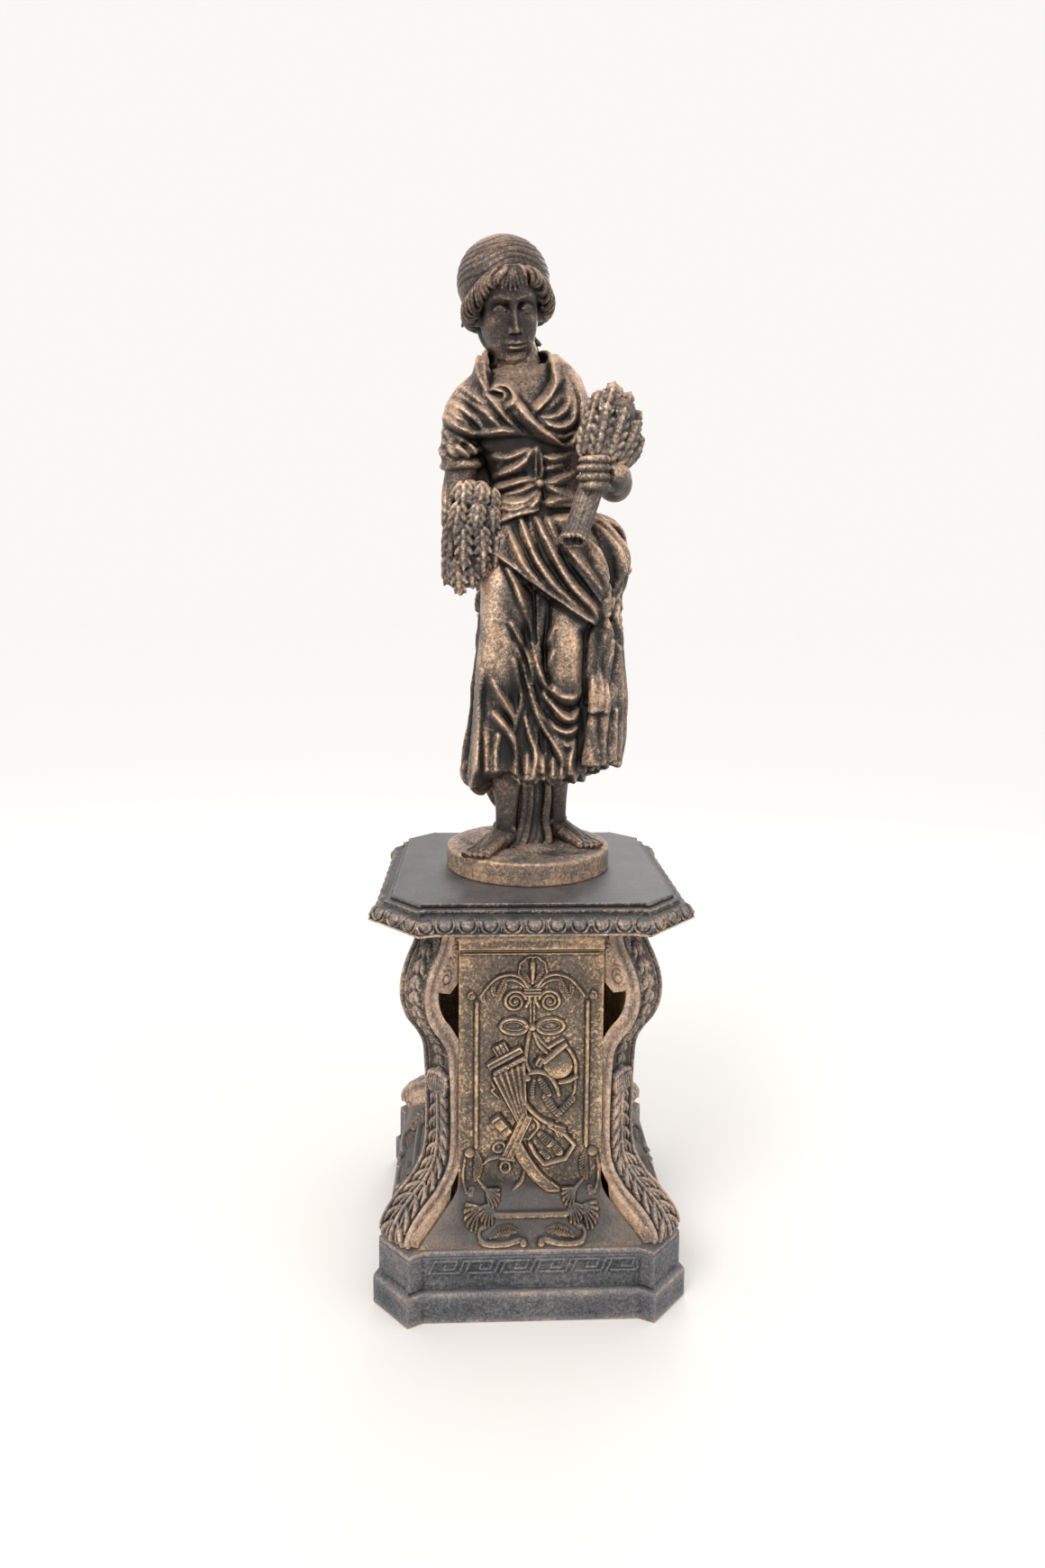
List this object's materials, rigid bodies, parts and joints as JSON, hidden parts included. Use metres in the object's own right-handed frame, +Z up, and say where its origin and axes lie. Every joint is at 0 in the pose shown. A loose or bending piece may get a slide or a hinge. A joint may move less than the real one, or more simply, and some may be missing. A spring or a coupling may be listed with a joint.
{
  "type": "cast iron garden statue on its pedestal",
  "caption": "Cast iron garden statue of a gleaner holding wheat, on a round base, standing on its square pedestal with scrolled corner consoles and ornamented panels.",
  "frame": {"origin": "middle of the plinth's underside, at floor level", "axes": "+Z up along the figure's height, -Y towards the viewer who faces the figure's front, +X towards the figure's left hand, which holds the sheaf"},
  "size_m": [0.704, 0.704, 2.3536],
  "materials": {
    "black_iron": "black painted and weathered, dusty on the upper faces",
    "rubbed_iron": "black painted with bronze rubbed over the raised forms"
  },
  "bodies": {
    "root": {"statue": "rubbed_iron", "cap": "black_iron", "plinth": "black_iron", "panel_front": "rubbed_iron", "panel_right": "rubbed_iron", "panel_back": "rubbed_iron", "panel_left": "rubbed_iron", "console_front_right": "rubbed_iron", "console_back_right": "rubbed_iron", "console_back_left": "rubbed_iron", "console_front_left": "rubbed_iron"}
  },
  "joints": []
}
